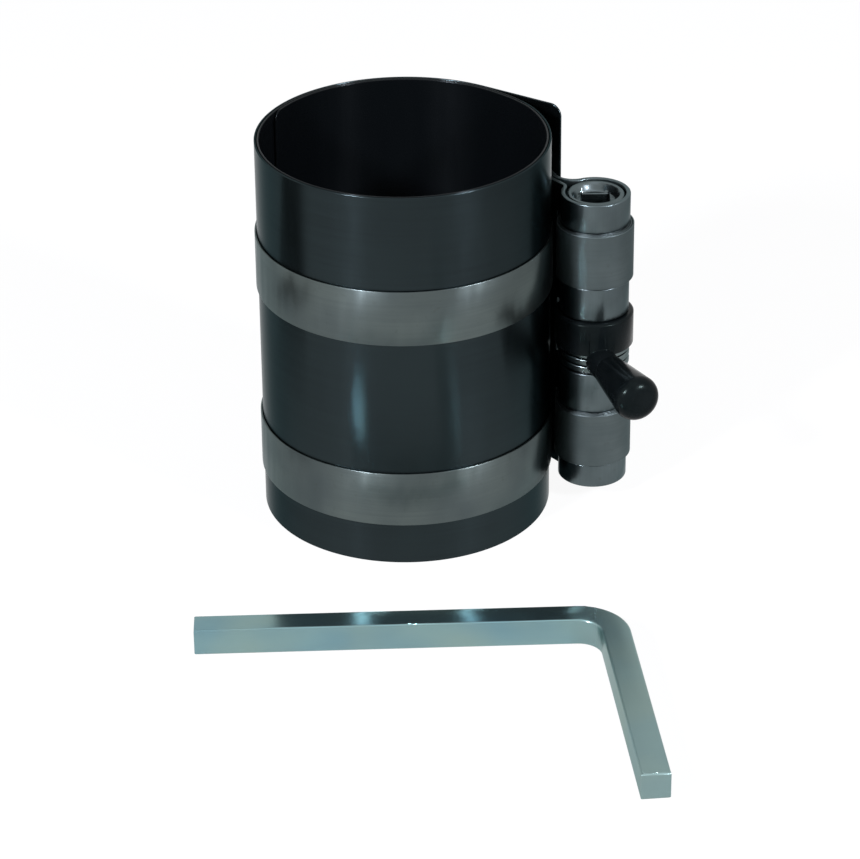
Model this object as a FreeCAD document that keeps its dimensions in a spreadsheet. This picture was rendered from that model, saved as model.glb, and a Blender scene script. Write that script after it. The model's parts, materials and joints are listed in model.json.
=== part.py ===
import FreeCAD
import Part
import Sketcher
import math
import os

# A piston ring compressor, standing on its lower rim, with its square key on the ground before it.
# The origin is the middle of the sleeve's lower rim, +Z is up and lengths are millimetres.
# The spindle that winds the two bands stands on +X. Angles are degrees about the axis they name.

document = FreeCAD.newDocument("ring_compressor")
sheet = document.addObject("Spreadsheet::Sheet", "sizes")

SIZES = (
    # The sleeve is one long sheet of spring steel, wound on itself so that it can close and open.
    ("sleeve_radius", 29.2),
    ("sleeve_height", 80.0),
    ("sleeve_sheet", 0.4),
    ("layer_gap", 0.15),
    ("tail_length", 18.6),
    ("sheet_corner_radius", 2.5),
    ("step_angle", 18.0),
    ("step_margin_angle", 1.0),
    ("inner_end_angle", 156.0),
    # Two flat steel bands go round the sleeve and are wound up by the spindle.
    ("band_width", 11.6),
    ("band_sheet", 0.4),
    ("lower_band_level", 8.8),
    ("upper_band_level", 48.8),
    ("seat_gap", 0.05),
    ("run_gap", 0.28),
    ("coil_turns", 4.0),
    ("coil_step_angle", 40.0),
    ("coil_gap", 0.05),
    ("coil_room_gap", 0.6),
    ("coil_rise_height", 0.65),
    ("tongue_depth", 1.2),
    ("slot_width", 0.6),
    # The bracket is one bent strip: four loops carry the spindle, two leaves lie on the sleeve.
    ("strip_sheet", 0.9),
    ("bottom_loop_height", 4.9),
    ("top_loop_height", 6.1),
    ("window_gap_below", 0.35),
    ("window_gap_above", 0.35),
    ("window_gap_beside", 0.85),
    ("window_angle", 50.0),
    ("leaf_length", 5.85),
    ("leaf_corner_radius", 1.0),
    ("neck_radius", 1.8),
    ("throat_gap", 1.05),
    ("foot_radius", 2.5),
    ("foot_lag_angle", 2.2),
    ("back_radius", 4.2),
    # Rivets hold the leaves, the bands' fixed ends and the sleeve's outer layer together.
    ("rivet_radius", 1.2),
    ("rivet_head_radius", 2.2),
    ("rivet_head_height", 0.8),
    ("rivet_dome_radius", 1.85),
    ("rivet_dome_height", 0.3),
    ("rivet_crown_radius", 1.1),
    ("rivet_spacing", 6.0),
    ("rivet_gap", 0.05),
    # The spindle is a turned bar with a square socket for the key.
    ("spindle_radius", 6.0),
    ("running_gap", 0.05),
    ("waist_depth", 0.5),
    ("land_depth", 0.2),
    ("spindle_chamfer", 0.5),
    ("end_recess_depth", 0.2),
    ("groove_gap", 0.2),
    ("socket_depth", 18.0),
    ("socket_gap", 0.1),
    ("mouth_radius", 4.9),
    ("mouth_depth", 1.6),
    ("mouth_root_radius", 3.8),
    # A coil spring grips the spindle, and the collar with its lever lets it go.
    ("clutch_level", 30.0),
    ("wire_height", 1.35),
    ("wire_depth", 1.1),
    ("wire_pitch", 1.6),
    ("spring_turns", 3.6),
    ("moving_gap", 0.3),
    ("ceiling_gap", 0.45),
    ("roof_height", 4.2),
    ("skirt_height", 2.9),
    ("collar_wall", 0.45),
    ("collar_gap", 0.2),
    ("collar_chamfer", 0.4),
    ("lever_angle", -68.0),
    ("lever_offset_width", 1.6),
    ("boss_width", 5.6),
    ("boss_height", 6.0),
    ("boss_length", 3.05),
    ("boss_corner_radius", 2.4),
    ("stud_radius", 1.5),
    ("stud_chamfer", 0.3),
    ("stud_seat_depth", 2.8),
    ("stud_length", 14.0),
    ("press_gap", 0.02),
    ("grip_length", 15.0),
    ("grip_root_radius", 3.2),
    ("grip_tip_radius", 5.0),
    ("grip_edge_radius", 2.6),
    # The key is a bent bar of square steel that lies before the sleeve, its long arm's end on the left.
    ("key_width", 5.5),
    ("key_long_length", 80.1),
    ("key_short_length", 55.5),
    ("key_bend_radius", 7.2),
    ("key_bend_angle", 86.4),
    ("key_heading_angle", 1.9),
    ("key_left_distance", 40.8),
    ("key_front_distance", 60.1),
    ("key_edge_radius", 0.45),
)


class Size(float):
    """A number that remembers its formula in the sheet."""

    def __new__(cls, value, text):
        number = float.__new__(cls, value)
        number.text = text
        return number

    def __add__(self, other):
        return Size(float(self) + float(other), "(%s + %s)" % (self.text, formula(other)))

    def __sub__(self, other):
        return Size(float(self) - float(other), "(%s - %s)" % (self.text, formula(other)))

    def __mul__(self, other):
        return Size(float(self) * float(other), "(%s * %s)" % (self.text, formula(other)))

    def __truediv__(self, other):
        return Size(float(self) / float(other), "(%s / %s)" % (self.text, formula(other)))

    def __neg__(self):
        return Size(-float(self), "(0 - %s)" % self.text)


def formula(number):
    """The formula of a size, or the digits of a plain number."""
    return number.text if isinstance(number, Size) else "%.9g" % number


class Sizes:
    """Every row of the sheet as a Size of the same name."""


for row, (name, value) in enumerate(SIZES, start=1):
    sheet.set("A%d" % row, name)
    sheet.set("B%d" % row, "%g" % value)
    sheet.setAlias("B%d" % row, name)
document.recompute()
size = Sizes()
for name, value in SIZES:
    setattr(size, name, Size(sheet.get(name), "sizes.%s" % name))

UP = FreeCAD.Vector(0, 0, 1)
SIDEWAYS = FreeCAD.Vector(0, 1, 0)
CENTRE = FreeCAD.Vector(0, 0, 0)
ZERO = Size(0.0, "0")
FULL_TURN = 360.0
HALF_TURN = 180.0
QUARTER_TURN = 90.0
SAME_POINT = 1e-6

# Round the spindle, from the inside out.
bore_radius = size.spindle_radius + size.running_gap
spindle_waist = size.spindle_radius - size.waist_depth
spring_land = size.spindle_radius - size.land_depth
spring_inner = spring_land + size.moving_gap
spring_outer = spring_inner + size.wire_depth
skirt_radius = spring_outer + size.moving_gap
collar_radius = skirt_radius + size.collar_wall
boss_end = collar_radius + size.boss_length
coil_pitch = size.band_sheet + size.coil_gap
coil_radius = spindle_waist + coil_pitch * (size.coil_turns + 1)

# Round the sleeve, from the inside out. The spindle stands where the full coil clears the band.
layer_pitch = size.sleeve_sheet + size.layer_gap
band_inner = size.sleeve_radius + size.seat_gap
band_outer = band_inner + size.band_sheet
leaf_inner = band_outer + size.seat_gap
rivet_seat = leaf_inner + size.strip_sheet * 2 + size.seat_gap * 2
spindle_reach = band_outer + size.coil_room_gap + coil_radius
spindle_axis = FreeCAD.Vector(spindle_reach, 0, 0)
run_inner = coil_radius + size.run_gap
run_angle = math.degrees(math.acos((band_inner - run_inner) / spindle_reach))

# Up the spindle.
lower_coil_level = size.lower_band_level + size.coil_rise_height
upper_coil_level = size.upper_band_level + size.coil_rise_height
lower_window = (lower_coil_level - size.window_gap_below,
                lower_coil_level + size.band_width + size.window_gap_above)
upper_window = (upper_coil_level - size.window_gap_below,
                upper_coil_level + size.band_width + size.window_gap_above)
bracket_bottom = lower_window[0] - size.bottom_loop_height
bracket_top = upper_window[1] + size.top_loop_height
spring_bottom = size.clutch_level + size.seat_gap
spring_top = spring_bottom + size.wire_pitch * size.spring_turns + size.wire_height
collar_ceiling = spring_top + size.ceiling_gap
collar_top = collar_ceiling + size.roof_height
clutch_window = (size.clutch_level, collar_top + size.collar_gap)
boss_bottom = size.clutch_level + size.collar_gap
lever_level = boss_bottom + size.boss_height / 2
BAND_LEVELS = (size.lower_band_level, size.upper_band_level)


def bind(thing, path, number):
    """Tie a property to the sheet."""
    thing.setExpression(path, formula(number))


def polar(radius, angle, centre=CENTRE):
    """The point at an angle on a circle."""
    turn = math.radians(angle)
    return centre + FreeCAD.Vector(radius * math.cos(turn), radius * math.sin(turn), 0)


def new_body(label):
    body = document.addObject("PartDesign::Body", label)
    body.Label = label
    return body


def origin_plane(body, role):
    """One of the body's own origin planes, found by its role."""
    return next(plane for plane in body.Origin.OriginFeatures if plane.Role == role)


def new_sketch(body, name, role="XY_Plane", level=ZERO):
    """A sketch on an origin plane of its own body, lifted by a level."""
    sketch = body.newObject("Sketcher::SketchObject", name)
    sketch.AttachmentSupport = [(origin_plane(body, role), "")]
    sketch.MapMode = "FlatFace"
    if level is not ZERO:
        bind(sketch, "AttachmentOffset.Base.z", level)
    return sketch


def fix_coordinate(sketch, kind, index, number):
    """Hold the start point of one line at a distance from an axis of the sketch."""
    vertical_axis = -2
    horizontal_axis = -1
    if number is ZERO:
        axis = vertical_axis if kind == "DistanceX" else horizontal_axis
        sketch.addConstraint(Sketcher.Constraint("PointOnObject", index, 1, axis))
        return
    added = sketch.addConstraint(Sketcher.Constraint(kind, -1, 1, index, 1, float(number)))
    bind(sketch, "Constraints[%d]" % added, number)


def draw_polygon(sketch, corners):
    """A closed outline whose every corner is tied to the sheet."""
    first = sketch.GeometryCount
    points = [FreeCAD.Vector(float(across), float(along), 0) for across, along in corners]
    for start, end in zip(points, points[1:] + points[:1]):
        sketch.addGeometry(Part.LineSegment(start, end), False)
    for place, (across, along) in enumerate(corners):
        index = first + place
        following = first + (place + 1) % len(corners)
        sketch.addConstraint(Sketcher.Constraint("Coincident", index, 2, following, 1))
        fix_coordinate(sketch, "DistanceX", index, across)
        fix_coordinate(sketch, "DistanceY", index, along)
    return sketch


def draw_edges(sketch, edges):
    """A closed outline of arcs and lines that the sizes have already placed."""
    for edge in edges:
        index = sketch.addGeometry(edge, False)
        sketch.addConstraint(Sketcher.Constraint("Block", index))
    return sketch


def pad(body, sketch, height, name="pad"):
    feature = body.newObject("PartDesign::Pad", name)
    feature.Profile = sketch
    bind(feature, "Length", height)
    return feature


def pocket(body, sketch, depth, name="pocket", upward=True):
    """Cut a sketch out of the body, above the sketch or below it."""
    feature = body.newObject("PartDesign::Pocket", name)
    feature.Profile = sketch
    feature.Reversed = upward
    bind(feature, "Length", depth)
    return feature


def revolve(body, sketch, name="turning", axis="V_Axis"):
    feature = body.newObject("PartDesign::Revolution", name)
    feature.Profile = sketch
    feature.ReferenceAxis = (sketch, [axis])
    feature.Angle = FULL_TURN
    return feature


def drill(body, name, radius, depth, placement):
    """A round hole from a place along the local Z axis."""
    hole = body.newObject("PartDesign::SubtractiveCylinder", name)
    bind(hole, "Radius", radius)
    bind(hole, "Height", depth)
    hole.Placement = placement
    return hole


def round_edges(body, feature, radius, wanted, name="rounding"):
    """Round every edge of a feature for which the test says yes."""
    document.recompute()
    edges = enumerate(feature.Shape.Edges, start=1)
    fillet = body.newObject("PartDesign::Fillet", name)
    fillet.Base = (feature, ["Edge%d" % number for number, edge in edges if wanted(edge)])
    bind(fillet, "Radius", radius)
    return fillet


def closed_lines(corners):
    """Straight edges from corner to corner and back to the first."""
    return [Part.LineSegment(start, end) for start, end in zip(corners, corners[1:] + corners[:1])]


def round_sheet_ends(body, feature, radius, thickness, name):
    """Round the corners of a padded sheet at its two free ends."""

    def is_sheet_end(edge):
        return edge.BoundBox.ZLength < SAME_POINT and abs(edge.Length - thickness) < SAME_POINT

    return round_edges(body, feature, radius, is_sheet_end, name)


# A bent sheet seen from above is a path of arcs joined by straight runs that touch them, and its
# two faces are that path moved to the left and to the right. A circle of the path is its centre,
# radius and sense: 1 where the path turns left round it, and -1 where it turns right.


def touching_line(first, second):
    """Where the straight run between two circles leaves the one and meets the other."""
    span = second[0] - first[0]
    lean = (second[2] * second[1] - first[2] * first[1]) / span.Length
    if abs(lean) > 1 - SAME_POINT:
        lean = math.copysign(1, lean)
    heading = math.atan2(span.y, span.x) - math.asin(lean)
    left = FreeCAD.Vector(-math.sin(heading), math.cos(heading), 0)
    return [centre - left * (sense * radius) for centre, radius, sense in (first, second)]


def meeting_point(first, first_distance, second, second_distance):
    """The point at two distances from two centres, to the left of the way between them."""
    span = second - first
    along = (first_distance ** 2 - second_distance ** 2 + span.Length ** 2) / (2 * span.Length)
    aside = math.sqrt(first_distance ** 2 - along ** 2)
    ahead = FreeCAD.Vector(span).normalize()
    return first + ahead * along + FreeCAD.Vector(-ahead.y, ahead.x, 0) * aside


def bent_path(circles, start, end):
    """The pieces of a path, each as its circle or None, its first point and its last point."""
    pieces = []
    place = start
    for number, circle in enumerate(circles[:-1]):
        leave, meet = touching_line(circle, circles[number + 1])
        pieces.append((circle, place, leave))
        if (meet - leave).Length > SAME_POINT:
            pieces.append((None, leave, meet))
        place = meet
    pieces.append((circles[-1], place, end))
    return pieces


def moved_sideways(piece, shift):
    """One piece of a path, moved to its left by a shift, as an edge with its two ends."""
    circle, first, last = piece
    if circle is None:
        along = (last - first).normalize()
        left = FreeCAD.Vector(-along.y, along.x, 0)
        first, last = first + left * shift, last + left * shift
        return Part.LineSegment(first, last), first, last
    centre, radius, sense = circle
    new_radius = radius - sense * shift
    angles = [math.atan2(point.y - centre.y, point.x - centre.x) for point in (first, last)]
    first, last = [centre + FreeCAD.Vector(math.cos(a), math.sin(a), 0) * new_radius for a in angles]
    if sense < 0:
        angles.reverse()
    if angles[1] <= angles[0]:
        angles[1] += math.radians(FULL_TURN)
    return Part.ArcOfCircle(Part.Circle(centre, UP, new_radius), *angles), first, last


def sheet_outline(pieces, to_left, to_right):
    """The closed outline of a sheet that lies between two shifts of one path."""
    left = [moved_sideways(piece, to_left) for piece in pieces]
    right = [moved_sideways(piece, -to_right) for piece in pieces]
    caps = [(left[0][1], right[0][1]), (left[-1][2], right[-1][2])]
    return [side[0] for side in left + right] + [Part.LineSegment(*cap) for cap in caps]


def wound_face(radius_at, breaks, sense=1):
    """The arcs of one face of a wound sheet. A sense of -1 winds it the other way."""
    arcs = []
    for start, end in zip(breaks, breaks[1:]):
        stations = (start, (start + end) / 2, end)
        arcs.append(Part.Arc(*[polar(radius_at(angle), sense * angle) for angle in stations]))
    return arcs


def stepped_radius(angle, radius, pitch, step_start, step_end):
    """A radius that is full after the first step, and steps in by one pitch in every turn."""
    step = step_end - step_start
    turns = math.floor((angle - step_end) / FULL_TURN)
    since_step = angle - step_end - turns * FULL_TURN
    return radius - pitch * (turns + max(0.0, (since_step + step - FULL_TURN) / step))


def turn_breaks(start, end, step_start, step_end):
    """The angles at which a wound sheet changes from a round stretch to a step."""
    breaks = []
    turn = math.floor(start / FULL_TURN) - 1
    while step_start + turn * FULL_TURN < end:
        breaks += [edge + turn * FULL_TURN for edge in (step_start, step_end)]
        turn += 1
    return [start] + [angle for angle in breaks if start < angle < end] + [end]


# The bracket's strip runs from its front leaf over the foot and the neck into the loop round the
# spindle, and over the back bend to its back leaf. These are the middle lines of its bends.
half_strip = size.strip_sheet / 2
front_line = leaf_inner + half_strip
back_line = front_line + size.strip_sheet + size.seat_gap
loop_line = bore_radius + half_strip
back_centre = meeting_point(CENTRE, back_line + size.back_radius,
                            spindle_axis, loop_line + size.back_radius)
throat = size.back_radius + size.strip_sheet + size.throat_gap + size.neck_radius
neck_centre = meeting_point(spindle_axis, loop_line + size.neck_radius, back_centre, throat)
back_angle = math.degrees(math.atan2(back_centre.y, back_centre.x))
leaf_angle = math.degrees(size.leaf_length / back_line)
leaf_end = back_angle + leaf_angle
foot_centre = polar(front_line + size.foot_radius, back_angle - size.foot_lag_angle)


def rivet_places(levels):
    """The place of each rivet on the bands at some levels. Its local Z runs out through the leaves."""
    outward = FreeCAD.Rotation(UP, back_angle + leaf_angle / 2)
    outward = outward.multiply(FreeCAD.Rotation(SIDEWAYS, QUARTER_TURN))
    places = []
    for level in levels:
        for side in (-1, 1):
            height = level + size.band_width / 2 + size.rivet_spacing / 2 * side
            places.append(FreeCAD.Placement(FreeCAD.Vector(0, 0, height), outward))
    return places


def rivet_holes(body, levels):
    """Holes for the rivets in a sheet on the sleeve, from the gap under the sleeve's outer layer."""
    start = size.sleeve_radius - size.sleeve_sheet - size.layer_gap / 2
    length = rivet_seat + size.rivet_head_height - start
    under_outer_layer = FreeCAD.Placement(FreeCAD.Vector(0, 0, start), FreeCAD.Rotation())
    for number, place in enumerate(rivet_places(levels)):
        drill(body, "rivet_hole_%d" % number, size.rivet_radius + size.rivet_gap, length,
              place.multiply(under_outer_layer))


def build_sleeve():
    """Two turns and a quarter of sheet. The outer end leaves the round as a straight tail."""
    body = new_body("sleeve")
    step_start = leaf_end + size.step_margin_angle
    steps = (step_start, step_start + size.step_angle)
    breaks = turn_breaks(run_angle, size.inner_end_angle + 2 * FULL_TURN, *steps)

    def outer(angle):
        return stepped_radius(angle, size.sleeve_radius, layer_pitch, *steps)

    def inner(angle):
        return outer(angle) - size.sleeve_sheet

    first, last = breaks[0], breaks[-1]
    outline = wound_face(outer, breaks) + wound_face(inner, breaks)
    tail = polar(size.tail_length, run_angle - QUARTER_TURN)
    feet = [polar(face(first), first) for face in (outer, inner)]
    outline += [Part.LineSegment(foot, foot + tail) for foot in feet]
    outline.append(Part.LineSegment(*[foot + tail for foot in feet]))
    outline.append(Part.LineSegment(polar(outer(last), last), polar(inner(last), last)))
    sketch = draw_edges(new_sketch(body, "sleeve_outline"), outline)
    wound_sheet = pad(body, sketch, size.sleeve_height)
    round_sheet_ends(body, wound_sheet, size.sheet_corner_radius, size.sleeve_sheet, "sheet_corners")
    rivet_holes(body, BAND_LEVELS)
    return body


def build_band(label, level):
    """The band from its riveted end, round the sleeve, to where it reaches the spindle."""
    body = new_body(label)
    half = size.band_sheet / 2
    middle_line = band_inner + half
    start = polar(middle_line, leaf_end - size.step_margin_angle)
    foot = polar(middle_line, run_angle)
    end = polar(run_inner + half, run_angle, spindle_axis)
    pieces = [((CENTRE, middle_line, -1), start, foot), (None, foot, end)]
    outline = sheet_outline(pieces, half, half)
    pad(body, draw_edges(new_sketch(body, "band_outline", level=level), outline), size.band_width)
    rivet_holes(body, (level,))
    return body


def build_coil(label, level):
    """The stretch of band wound on the spindle, a little higher than on the sleeve, with its tongue."""
    body = new_body(label)
    bind(body, "Placement.Base.x", spindle_reach)
    steps = (-run_angle - size.coil_step_angle, -run_angle)

    def outer(angle):
        return stepped_radius(angle, coil_radius, coil_pitch, *steps)

    def inner(angle):
        return outer(angle) - size.band_sheet

    first, last = -run_angle, size.coil_turns * FULL_TURN - run_angle
    breaks = turn_breaks(first, last, *steps)
    fold = last - math.degrees(size.band_sheet / inner(last))
    outline = wound_face(outer, breaks, -1) + wound_face(inner, breaks[:-1] + [fold], -1)
    outline.append(Part.LineSegment(polar(outer(first), -first), polar(inner(first), -first)))
    tongue_tip = polar(spindle_waist - size.tongue_depth, -last)
    across = polar(inner(fold), -fold) - polar(inner(last), -last)
    corners = [polar(outer(last), -last), tongue_tip, tongue_tip + across, polar(inner(fold), -fold)]
    outline += [Part.LineSegment(start, end) for start, end in zip(corners, corners[1:])]
    sketch = new_sketch(body, "coil_outline", level=level + size.coil_rise_height)
    pad(body, draw_edges(sketch, outline), size.band_width)
    return body


def build_bracket():
    """One strip, bent round the spindle, whose two ends lie on the sleeve as leaves."""
    body = new_body("bracket")
    circles = [(CENTRE, front_line, -1), (foot_centre, size.foot_radius, 1),
               (neck_centre, size.neck_radius, -1), (spindle_axis, loop_line, 1),
               (back_centre, size.back_radius, -1), (CENTRE, back_line, 1)]
    pieces = bent_path(circles, polar(front_line, leaf_end), polar(back_line, leaf_end))
    outline = sheet_outline(pieces, half_strip, half_strip)
    sketch = draw_edges(new_sketch(body, "strip_outline", level=bracket_bottom), outline)
    strip = pad(body, sketch, bracket_top - bracket_bottom)
    round_sheet_ends(body, strip, size.leaf_corner_radius, size.strip_sheet, "leaf_corners")
    window_foot = polar(coil_radius + size.window_gap_beside, HALF_TURN - size.window_angle, spindle_axis)
    along = polar(spindle_reach, size.window_angle)
    depth = polar(spindle_reach, size.window_angle - QUARTER_TURN)
    corners = [window_foot - along, window_foot + along, window_foot + along + depth,
               window_foot - along + depth]
    windows = (("lower", lower_window), ("clutch", clutch_window), ("upper", upper_window))
    for name, (low, high) in windows:
        cut = draw_edges(new_sketch(body, name + "_window_outline", level=low), closed_lines(corners))
        pocket(body, cut, high - low, name + "_window")
    rivet_holes(body, BAND_LEVELS)
    return body


def build_rivets():
    """Four alike rivets. Their inner ends are flush, so that the sleeve's next layer slides past."""
    inner_end = size.sleeve_radius - size.sleeve_sheet + size.seat_gap
    dome, crown = rivet_seat + size.rivet_dome_height, rivet_seat + size.rivet_head_height
    profile = [(ZERO, inner_end), (size.rivet_radius, inner_end), (size.rivet_radius, rivet_seat),
               (size.rivet_head_radius, rivet_seat), (size.rivet_head_radius, dome),
               (size.rivet_dome_radius, crown - size.rivet_dome_height / 2),
               (size.rivet_crown_radius, crown), (ZERO, crown)]
    rivets = []
    for number, place in enumerate(rivet_places(BAND_LEVELS)):
        body = new_body("rivet_%d" % number)
        sketch = draw_polygon(new_sketch(body, "rivet_profile_%d" % number, "XZ_Plane"), profile)
        revolve(body, sketch)
        body.Placement = place
        rivets.append(body)
    group = document.addObject("Part::Compound", "bracket_rivets")
    group.Label = "bracket_rivets"
    group.Links = rivets
    return group


def build_spindle():
    """A turned bar: journals in the loops, waists under the bands, a square socket at the top."""
    body = new_body("spindle")
    bind(body, "Placement.Base.x", spindle_reach)
    bottom, top = bracket_bottom - size.end_recess_depth, bracket_top - size.end_recess_depth
    radius, chamfer, gap = size.spindle_radius, size.spindle_chamfer, size.groove_gap
    profile = [(ZERO, bottom), (radius - chamfer, bottom), (radius, bottom + chamfer)]
    turned_down = ((lower_window[0] + gap, lower_window[1] - gap, spindle_waist),
                   (size.clutch_level - gap, spring_top + size.moving_gap, spring_land),
                   (upper_window[0] + gap, upper_window[1] - gap, spindle_waist))
    for low, high, waist in turned_down:
        profile += [(radius, low), (waist, low), (waist, high), (radius, high)]
    mouth_bottom = top - size.mouth_depth
    profile += [(radius, top - chamfer), (radius - chamfer, top), (size.mouth_radius, top),
                (size.mouth_root_radius, mouth_bottom), (ZERO, mouth_bottom)]
    revolve(body, draw_polygon(new_sketch(body, "spindle_profile", "XZ_Plane"), profile))
    half = (size.key_width + size.socket_gap) / 2
    square = [(-half, -half), (half, -half), (half, half), (-half, half)]
    socket = draw_polygon(new_sketch(body, "socket_outline", level=top - size.socket_depth), square)
    pocket(body, socket, size.socket_depth, "socket")
    for number, level in enumerate(BAND_LEVELS):
        slot_bottom = level + size.coil_rise_height - gap / 2
        sketch = new_sketch(body, "slot_outline_%d" % number, level=slot_bottom)
        pocket(body, draw_edges(sketch, slot_outline()), size.band_width + gap, "slot_%d" % number)
    return body


def slot_outline():
    """The slot for a band's tongue, seen from above, round the tongue that lies in it."""
    outward = polar(1, run_angle)
    sideways = polar(1, run_angle + QUARTER_TURN)
    play = (size.slot_width - size.band_sheet) / 2
    deep = outward * (spindle_waist - size.tongue_depth - play)
    shallow = outward * coil_radius
    near, far = sideways * (-play), sideways * (size.band_sheet + play)
    return closed_lines([deep + near, shallow + near, shallow + far, deep + far])


def build_clutch_spring():
    """Flat wire wound round the spindle between the middle loops."""
    body = new_body("clutch_spring")
    bind(body, "Placement.Base.x", spindle_reach)
    wire_top = spring_bottom + size.wire_height
    wire = [(spring_inner, spring_bottom), (spring_outer, spring_bottom), (spring_outer, wire_top),
            (spring_inner, wire_top)]
    sketch = draw_polygon(new_sketch(body, "wire_section", "XZ_Plane"), wire)
    coil = body.newObject("PartDesign::AdditiveHelix", "wire")
    coil.Profile = sketch
    coil.ReferenceAxis = (sketch, ["V_Axis"])
    coil.Mode = "pitch-turns-angle"
    coil.LeftHanded = True
    bind(coil, "Pitch", size.wire_pitch)
    bind(coil, "Turns", size.spring_turns)
    return body


def lever_place(offset, level):
    """A place on the spindle's axis whose local X runs out along the lever."""
    turned = FreeCAD.Rotation(UP, size.lever_angle)
    return FreeCAD.Placement(spindle_axis + turned.multVec(FreeCAD.Vector(0, offset, level)), turned)


def build_release_collar():
    """A moulded ring that turns on the spindle, with a boss for the lever hanging from its rim."""
    body = new_body("release_collar")
    chamfer = size.collar_chamfer
    left = -size.lever_offset_width - size.boss_width / 2
    right = left + size.boss_width
    over = boss_bottom + size.boss_height
    outline = [(left, boss_bottom), (right, boss_bottom), (right, over), (left, over)]
    root = bore_radius + size.running_gap
    boss_sketch = draw_polygon(new_sketch(body, "boss_outline", "YZ_Plane", root), outline)
    boss = pad(body, boss_sketch, boss_end - root, "boss")

    def runs_outwards(edge):
        return abs(edge.BoundBox.XLength - edge.Length) < SAME_POINT

    round_edges(body, boss, size.boss_corner_radius, runs_outwards, "boss_corners")
    low = collar_ceiling - size.skirt_height
    profile = [(skirt_radius, low), (collar_radius, low), (collar_radius, collar_top - chamfer),
               (collar_radius - chamfer, collar_top), (bore_radius, collar_top),
               (bore_radius, collar_ceiling), (skirt_radius, collar_ceiling)]
    revolve(body, draw_polygon(new_sketch(body, "collar_profile", "XZ_Plane"), profile))
    drill(body, "spring_room", skirt_radius, collar_ceiling - boss_bottom,
          FreeCAD.Placement(FreeCAD.Vector(0, 0, boss_bottom), FreeCAD.Rotation()))
    start = FreeCAD.Vector(boss_end - size.stud_seat_depth, -size.lever_offset_width, lever_level)
    drill(body, "stud_hole", size.stud_radius + size.press_gap, size.stud_seat_depth,
          FreeCAD.Placement(start, FreeCAD.Rotation(SIDEWAYS, QUARTER_TURN)))
    body.Placement = lever_place(0, 0)
    return body


def build_lever_stud():
    """A steel pin, pressed into the boss and into the grip."""
    body = new_body("lever_stud")
    start = boss_end - size.stud_seat_depth + size.press_gap
    end, radius, chamfer = start + size.stud_length, size.stud_radius, size.stud_chamfer
    profile = [(start, ZERO), (start, radius - chamfer), (start + chamfer, radius),
               (end - chamfer, radius), (end, radius - chamfer), (end, ZERO)]
    revolve(body, draw_polygon(new_sketch(body, "stud_profile"), profile), axis="H_Axis")
    body.Placement = lever_place(-size.lever_offset_width, lever_level)
    return body


def build_lever_grip():
    """A tapered round knob with a flat end and a well rounded rim."""
    body = new_body("lever_grip")
    start = boss_end + size.seat_gap
    end = start + size.grip_length
    bore = size.stud_radius + size.press_gap
    bottom = boss_end - size.stud_seat_depth + size.stud_length + size.moving_gap
    profile = [(start, bore), (start, size.grip_root_radius), (end, size.grip_tip_radius), (end, ZERO),
               (bottom, ZERO), (bottom, bore)]
    knob = revolve(body, draw_polygon(new_sketch(body, "grip_profile"), profile), axis="H_Axis")

    def is_tip_rim(edge):
        is_round = edge.Curve.TypeId == "Part::GeomCircle"
        return is_round and abs(edge.Curve.Radius - size.grip_tip_radius) < SAME_POINT

    round_edges(body, knob, size.grip_edge_radius, is_tip_rim, "tip_rounding")
    body.Placement = lever_place(-size.lever_offset_width, lever_level)
    return body


def build_square_key():
    """A square bar with one bend, lying flat on the ground."""
    body = new_body("square_key")
    tangent = size.key_bend_radius * math.tan(math.radians(size.key_bend_angle / 2))
    corner = FreeCAD.Vector(size.key_long_length, 0, 0)
    bend_start = corner - FreeCAD.Vector(tangent, 0, 0)
    centre = bend_start - FreeCAD.Vector(0, size.key_bend_radius, 0)
    bend_end = corner + polar(tangent, -size.key_bend_angle)
    end = corner + polar(size.key_short_length, -size.key_bend_angle)
    bend = (centre, size.key_bend_radius, -1)
    pieces = [(None, CENTRE, bend_start), (bend, bend_start, bend_end), (None, bend_end, end)]
    outline = sheet_outline(pieces, size.key_width / 2, size.key_width / 2)
    bar = pad(body, draw_edges(new_sketch(body, "key_outline"), outline), size.key_width)

    def lies_flat(edge):
        return edge.BoundBox.ZLength < SAME_POINT

    round_edges(body, bar, size.key_edge_radius, lies_flat, "key_edges")
    place = FreeCAD.Vector(-size.key_left_distance, -size.key_front_distance, 0)
    body.Placement = FreeCAD.Placement(place, FreeCAD.Rotation(UP, size.key_heading_angle))
    return body


def check_and_write(parts):
    """Refuse a failed feature or a broken solid, then write each sub-part to its file."""
    document.recompute()
    for thing in document.Objects:
        if "Invalid" in thing.State or "Error" in thing.State:
            raise RuntimeError("%s failed: %s" % (thing.Name, thing.State))
    os.makedirs("parts", exist_ok=True)
    for part in parts:
        shape = part.Shape
        if shape.isNull() or not shape.isValid():
            raise RuntimeError("%s has no sound shape" % part.Label)
        shape.exportStep(os.path.join("parts", part.Label + ".step"))
        words = (part.Label, len(shape.Solids), shape.Volume, shape.BoundBox.ZMin, shape.BoundBox.ZMax)
        print("%-16s %d solids, %8.1f mm3, z %.2f to %.2f" % words)


check_and_write([
    build_sleeve(),
    build_band("lower_band", size.lower_band_level),
    build_band("upper_band", size.upper_band_level),
    build_bracket(),
    build_rivets(),
    build_spindle(),
    build_coil("lower_band_coil", size.lower_band_level),
    build_coil("upper_band_coil", size.upper_band_level),
    build_clutch_spring(),
    build_release_collar(),
    build_lever_stud(),
    build_lever_grip(),
    build_square_key(),
])
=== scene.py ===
# %% [markdown]
# A piston ring compressor
#
# The real tool is a sheet of blued spring steel, rolled up into an open sleeve. Two flat steel bands
# run round it, and a spindle with a square socket winds them up, so that the sleeve closes on the
# piston rings. A bent square key turns the spindle. This lesson dresses the measured solids of that
# tool: it keeps their places, gives them the rounded edges that catch the light, and builds a
# material for each kind of metal.

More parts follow.
